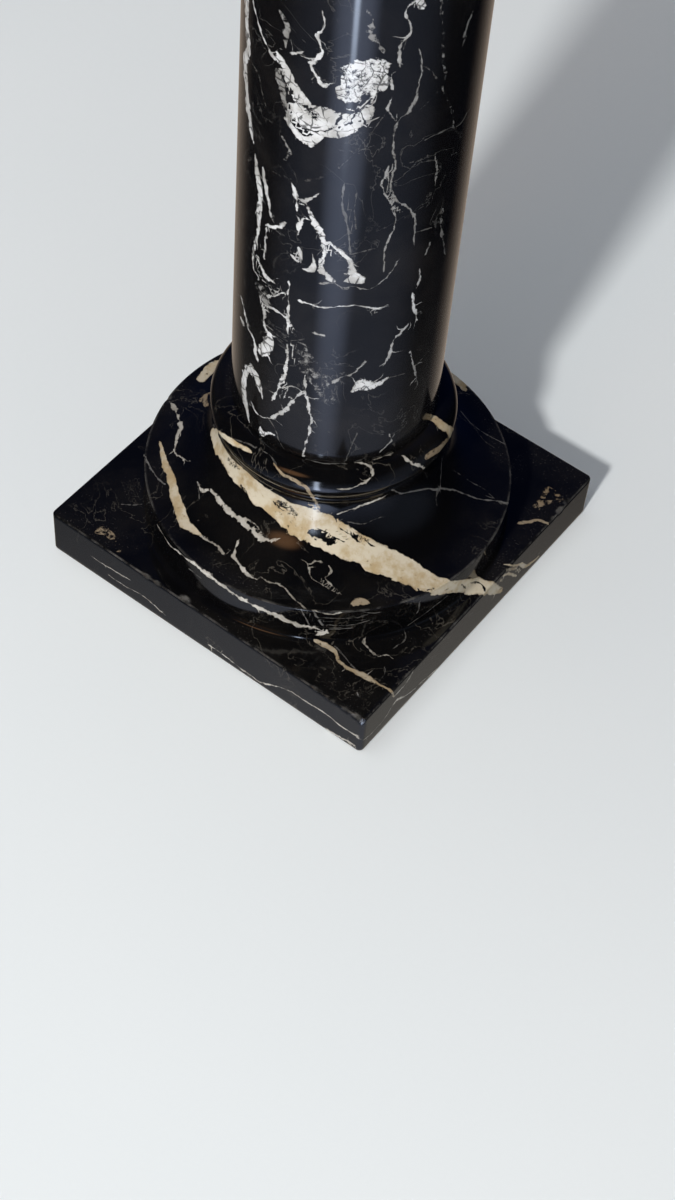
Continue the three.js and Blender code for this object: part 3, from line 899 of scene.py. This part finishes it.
def marble(name, prefix, ground, cloud, broad_tones, line_tones, ragged_broad, thin_broad, cracked, dust):
    """Polished black marble with drawn vein layers, fine hairlines, dust, and worn arrises."""
    material, g = new_material(name)
    where = g.node("TexCoord").outputs["Object"]
    clouds = g.step(g.noise(where, 16, 6, 0.6, 0.4), 0.42, 0.72)
    colour = g.mix(clouds, ground, cloud)
    ridge = g.math("ABSOLUTE", g.math("SUBTRACT", g.noise(where, 24, 6, 0.55, 0.8), 0.5))
    patch = g.step(g.noise(where, 13, 3), 0.45, 0.62)
    hair = g.math("MULTIPLY", g.step(ridge, 0.0, 0.007, 1.0, 0.0), patch)
    colour = g.mix(g.math("MULTIPLY", hair, 0.35), colour, line_tones[2])
    black = colour
    stone = 0.0
    layers = {
        "hair": ((0.7, 0.2, 150, 0.2, 1.6), 300, HAIR_TONES),
        "twig": ((0.5, 0.2, 150, 0.3, 1.5), 400, line_tones),
        "white": ((0.8, 0.5, 130, 0.08, 1.5), 240, line_tones),
        "broad": ((1.0, ragged_broad, 70, thin_broad, 2.0 - thin_broad), 190, broad_tones),
    }
    for layer, (outline, grain, tones) in layers.items():
        edge, tone = vein_edge(g, prefix + layer, where, *outline)
        cover = vein_cover(g, edge, tone, where, grain, 0.16)
        colour = g.mix(cover, colour, vein_colour(g, where, edge, tone, tones))
        stone = g.math("MAXIMUM", stone, cover)
    blocks = g.math("MULTIPLY", crack_lines(g, where), g.math("MULTIPLY", cover, cracked))
    edge, tone = vein_edge(g, prefix + "dark", where, 0.7, 0.6, 150, 0.4, 1.6)
    inclusion = vein_cover(g, edge, tone, where, 420, 0.16)
    specks = g.math("MULTIPLY", g.step(g.noise(where, 210, 6, 0.7, 0.4), 0.63, 0.68), stone)
    inclusion = g.math("MAXIMUM", inclusion, g.math("MULTIPLY", specks, 0.85))
    inclusion = g.math("MAXIMUM", inclusion, blocks)
    colour = g.mix(inclusion, colour, black)
    worn = g.attribute("wear").outputs["Fac"]
    chipped = g.math("MULTIPLY", worn, g.step(g.noise(where, 60, 6, 0.65), 0.38, 0.72))
    colour = g.mix(g.math("MULTIPLY", chipped, 0.32), colour, (0.30, 0.29, 0.27))
    colour, dusty = dust_film(g, where, dust, colour)
    polish = g.math("ADD", 0.06, g.math("MULTIPLY", g.noise(where, 35, 4), 0.07))
    for share, amount in ((stone, 0.08), (dusty, 0.45), (chipped, 0.3)):
        polish = g.math("ADD", polish, g.math("MULTIPLY", share, amount))
    turning = g.noise(g.vector("MULTIPLY", where, (30.0, 30.0, 1400.0)), 1.0, 3, 0.7)
    pits = g.math("MULTIPLY", stone, g.noise(where, 500, 4))
    relief = g.node("Bump")
    relief.inputs["Strength"].default_value = 0.10
    relief.inputs["Distance"].default_value = 0.0002
    g.put(g.math("ADD", g.math("MULTIPLY", turning, 0.04), pits), relief.inputs["Height"])
    shader = g.node("BsdfPrincipled")
    g.put(colour, shader.inputs["Base Color"])
    g.put(polish, shader.inputs["Roughness"])
    g.put(relief.outputs[0], shader.inputs["Normal"])
    shader.inputs["IOR"].default_value = 1.5
    g.put(shader.outputs[0], g.node("OutputMaterial").inputs[0])
    return material


# Chips on the base: a pixel of the photograph, then radius and depth in millimetres
CHIPS = {
    "front corner": (356, 719, 6.0, 1.5),
    "front corner tip": (361, 722, 4.0, 1.6),
    "left arris one": (146, 577, 4.0, 1.0),
    "left arris two": (157, 584, 4.0, 0.9),
    "left arris three": (184, 600, 5.0, 1.0),
    "left arris four": (316, 690, 4.0, 0.9),
    "left arris five": (330, 700, 5.0, 0.9),
    "left arris six": (345, 711, 4.0, 0.9),
    "right arris one": (552, 520, 4.0, 1.0),
    "right arris two": (560, 510, 5.0, 1.2),
    "right arris three": (566, 501, 4.0, 1.0),
    "rim notch": (171, 400, 5.0, 1.4),
}


def chip_edges(mesh, tree, wear):
    """Break small flakes off the arrises: each one is cut back to a rough plane."""
    points = np.empty(len(mesh.vertices) * 3)
    mesh.vertices.foreach_get("co", points)
    points = points.reshape(-1, 3) / MM
    normals = np.empty(len(mesh.vertices) * 3)
    mesh.vertex_normals.foreach_get("vector", normals)
    normals = normals.reshape(-1, 3)
    for x, y, radius, depth in CHIPS.values():
        place = np.array(tree.ray_cast(CAMERA_PLACE, pixel_ray(x, y))[0])
        gap = np.linalg.norm(points - place, axis=1)
        near = np.where(gap < radius)[0]
        facing = normals[near].mean(0)
        facing /= np.linalg.norm(facing)
        height = (points[near] - place) @ facing
        rough = np.array([noise.noise(Vector(p) * 0.9) for p in points[near]]) * 0.35
        over = np.maximum(height - height.max() + depth + rough, 0)
        over *= np.clip(2 * (1 - gap[near] / radius), 0, 1)
        points[near] -= over[:, None] * facing
        wear[near] = np.maximum(wear[near], np.clip(over * 2.5, 0, 1))
    mesh.vertices.foreach_set("co", (points * MM).ravel())


# Stones

def stone_object(name, prefix, rings, strokes, tree, chipped):
    points = rings.points()
    mesh = bpy.data.meshes.new(name)
    mesh.from_pydata((points * MM).tolist(), [], rings.faces())
    mesh.polygons.foreach_set("use_smooth", np.full(len(mesh.polygons), True))
    for layer, drawn in strokes.items():
        field = vein_field(points, drawn).astype(np.float32)
        mesh.attributes.new(prefix + layer, "FLOAT_VECTOR", "POINT").data.foreach_set("vector", field.ravel())
    wear = rings.wear_values()
    if chipped:
        chip_edges(mesh, tree, wear)
    mesh.attributes.new("wear", "FLOAT", "POINT").data.foreach_set("value", wear.astype(np.float32))
    mesh.update()
    made = bpy.data.objects.new(name, mesh)
    bpy.context.scene.collection.objects.link(made)
    return made


def ray_tree(rings):
    return BVHTree.FromPolygons(rings.points().tolist(), rings.faces())


def settle(piece, node, material):
    piece.data.materials.append(material)
    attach(piece, "root")
    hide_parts(node)


rng = np.random.default_rng(SEED)
BASE_GROUND = ((0.0024, 0.0024, 0.0028), (0.006, 0.0055, 0.005))
SHAFT_GROUND = ((0.0045, 0.0043, 0.0045), (0.012, 0.011, 0.0105))
SHAFT_SEEN_TOP = 560


def base_hidden(angle, place):
    return off_view(angle) > 118 or (off_view(angle) > 100 and place[2] < 80)


def shaft_hidden(angle, place):
    return off_view(angle) > 84 or place[2] > SHAFT_SEEN_TOP


def capital_hidden(angle, place):
    return True


def make_base():
    rings = base_rings()
    tree = ray_tree(rings)
    broad = pixel_strokes(tree, BASE_BROAD)
    white = pixel_strokes(tree, BASE_WHITE)
    hair = pixel_strokes(tree, BASE_HAIR)
    strokes = {
        "broad": broad + wandering_strokes(rings, rng, 3, base_hidden, 5.0, 160, 0.4, 0.95),
        "dark": pixel_strokes(tree, BASE_DARK),
        "white": white + wandering_strokes(rings, rng, 14, base_hidden, 1.3, 90, 0.6, 0.8),
        "hair": hair + wandering_strokes(rings, rng, 20, base_hidden, 0.5, 70, 0.5, 0.6),
        "twig": twigs(tree, broad + white, rng, spacing=26, longest=9),
    }
    piece = stone_object("marble_base", "base_", rings, strokes, tree, True)
    material = marble("base_marble", "base_", *BASE_GROUND, GOLD_TONES, GREY_TONES,
                      ragged_broad=0.45, thin_broad=0.88, cracked=0.0, dust=0.16)
    settle(piece, "base", material)


def make_shaft():
    rings = shaft_rings()
    tree = ray_tree(rings)
    broad = pixel_strokes(tree, SHAFT_BROAD)
    broad += wandering_strokes(rings, rng, 16, shaft_hidden, 3.2, 110, 1.2, 0.9)
    white = pixel_strokes(tree, SHAFT_WHITE)
    white += wandering_strokes(rings, rng, 46, shaft_hidden, 1.2, 110, 1.2, 0.8)
    hair = pixel_strokes(tree, SHAFT_HAIR)
    strokes = {
        "broad": broad,
        "dark": pixel_strokes(tree, SHAFT_DARK),
        "white": white,
        "hair": hair + wandering_strokes(rings, rng, 44, shaft_hidden, 0.5, 80, 0.9, 0.6),
        "twig": twigs(tree, broad + white, rng, spacing=16, longest=11),
    }
    piece = stone_object("marble_shaft", "shaft_", rings, strokes, tree, False)
    material = marble("shaft_marble", "shaft_", *SHAFT_GROUND, WHITE_TONES, WHITE_TONES,
                      ragged_broad=0.8, thin_broad=0.6, cracked=0.8, dust=0.1)
    settle(piece, "shaft", material)


def make_capital():
    rings = capital_rings()
    tree = ray_tree(rings)
    broad = wandering_strokes(rings, rng, 5, capital_hidden, 4.0, 170, 0.5, 0.97)
    white = wandering_strokes(rings, rng, 34, capital_hidden, 1.2, 100, 0.6, 0.8)
    strokes = {
        "broad": broad,
        "dark": [],
        "white": white,
        "hair": wandering_strokes(rings, rng, 40, capital_hidden, 0.5, 80, 0.5, 0.6),
        "twig": twigs(tree, broad + white, rng, spacing=26, longest=9),
    }
    piece = stone_object("marble_capital", "capital_", rings, strokes, tree, False)
    material = marble("capital_marble", "capital_", *BASE_GROUND, GOLD_TONES, GREY_TONES,
                      ragged_broad=0.45, thin_broad=0.8, cracked=0.0, dust=0.16)
    settle(piece, "capital", material)


# Stage: floor, light and camera

def heading(azimuth, elevation):
    """Direction at an azimuth right of the camera's side of the column and an elevation, in degrees."""
    angle = VIEW_AZIMUTH - math.pi / 2 + math.radians(azimuth)
    level = math.cos(math.radians(elevation))
    return Vector((math.cos(angle) * level, math.sin(angle) * level, math.sin(math.radians(elevation))))


def make_floor():
    half = 6.0
    corners = [(-half, -half, 0), (half, -half, 0), (half, half, 0), (-half, half, 0)]
    mesh = bpy.data.meshes.new("floor")
    mesh.from_pydata(corners, [], [(0, 1, 2, 3)])
    floor = bpy.data.objects.new("floor", mesh)
    bpy.context.scene.collection.objects.link(floor)
    floor.visible_glossy = False
    material, g = new_material("pale_floor")
    where = g.node("TexCoord").outputs["Object"]
    shader = g.node("BsdfPrincipled")
    g.put(g.mix(g.noise(where, 3, 2), (0.78, 0.83, 0.85), (0.81, 0.85, 0.865)), shader.inputs["Base Color"])
    shader.inputs["Roughness"].default_value = 0.7
    shader.inputs["Specular IOR Level"].default_value = 0.1
    g.put(shader.outputs[0], g.node("OutputMaterial").inputs[0])
    mesh.materials.append(material)


def area_light(name, direction, distance, size, watts, colour):
    """Soft lamp that lights surfaces but isn't seen in their polish."""
    lamp = bpy.data.lights.new(name, "AREA")
    lamp.shape = "DISK"
    lamp.size = size
    lamp.energy = watts
    lamp.color = colour
    made = bpy.data.objects.new(name, lamp)
    made.location = direction * distance
    made.rotation_mode = "QUATERNION"
    made.rotation_quaternion = direction.to_track_quat("Z", "Y")
    made.visible_glossy = False
    made.visible_camera = False
    bpy.context.scene.collection.objects.link(made)


# Soft light fields mirrored in the polish: azimuth, elevation, inner and outer radius in degrees, radiance
SOFT_FIELDS = {
    "floor near the plinth": (0, -90, 28, 47, (0.34, 0.325, 0.295)),
    "floor ahead": (0, -45, 0, 62, (0.20, 0.24, 0.35)),
    "glow ahead": (-8, -34, 2, 20, (1.0, 1.18, 1.68)),
    "warm corner": (-30, 31, 2, 14, (1.9, 0.95, 0.42)),
    "grey side": (65, -5, 5, 40, (0.09, 0.11, 0.15)),
    "blue behind": (165, 30, 10, 60, (0.0, 0.008, 0.05)),
    "blue left behind": (-140, 20, 5, 40, (0.0, 0.006, 0.035)),
    "brown behind": (180, -42, 5, 46, (0.36, 0.29, 0.23)),
}
STRIP_AZIMUTH = -8
STRIP_RADIANCE = (8.2, 9.6, 12.0)
DIM_STUDIO = (0.003, 0.004, 0.008)
BACKDROP = (0.62, 0.66, 0.68)


def make_surroundings():
    """Pale backdrop, and soft light fields with one tall strip light for the polish to mirror."""
    world = bpy.data.worlds.new("studio")
    world.use_nodes = True
    world.cycles.sampling_method = "NONE"
    g = Graph(world.node_tree)
    toward = g.node("TexCoord").outputs["Generated"]
    total = DIM_STUDIO
    for azimuth, elevation, inner, outer, radiance in SOFT_FIELDS.values():
        closeness = g.dot(toward, heading(azimuth, elevation))
        share = g.step(closeness, math.cos(math.radians(outer)), math.cos(math.radians(inner)))
        total = g.vector("ADD", total, g.scaled(radiance, share))
    across = g.math("ABSOLUTE", g.dot(toward, heading(STRIP_AZIMUTH + 90, 0)))
    ahead = g.step(g.dot(toward, heading(STRIP_AZIMUTH, 0)), 0.3, 0.5)
    level = g.split(toward)[2]
    strip = g.math("MULTIPLY", g.step(across, 0.012, 0.05, 1.0, 0.0), ahead)
    strip = g.math("MULTIPLY", strip, g.step(level, -0.66, -0.60))
    strip = g.math("MULTIPLY", strip, g.step(level, 0.16, 0.30, 1.0, 0.0))
    total = g.vector("ADD", total, g.scaled(STRIP_RADIANCE, strip))
    sky = g.node("Background")
    seen = g.node("LightPath").outputs["Is Camera Ray"]
    g.put(g.mix(seen, total, BACKDROP), sky.inputs["Color"])
    g.put(sky.outputs[0], g.node("OutputWorld").inputs[0])
    bpy.context.scene.world = world


def make_light():
    area_light("overhead", heading(-60, 80), distance=6.0, size=5.0, watts=165, colour=(1.0, 1.0, 1.0))
    area_light("key", heading(-24, 38), distance=6.0, size=0.45, watts=290, colour=(1.0, 0.985, 0.96))


def make_camera():
    lens = bpy.data.cameras.new("view")
    lens.lens = FOCAL_PIXELS / IMAGE_HEIGHT * SENSOR_MM
    lens.sensor_width = SENSOR_MM
    lens.clip_start = 0.05
    made = bpy.data.objects.new("view", lens)
    right, down, forward = CAMERA_ROWS
    turn = Matrix((right, -down, -forward)).transposed().to_4x4()
    made.matrix_world = Matrix.Translation(CAMERA_PLACE * MM) @ turn
    bpy.context.scene.collection.objects.link(made)
    bpy.context.scene.camera = made


make_camera()
make_floor()
make_surroundings()
make_light()
make_base()
make_shaft()
make_capital()
bpy.context.scene.view_settings.view_transform = "Standard"

bpy.context.view_layer.update()
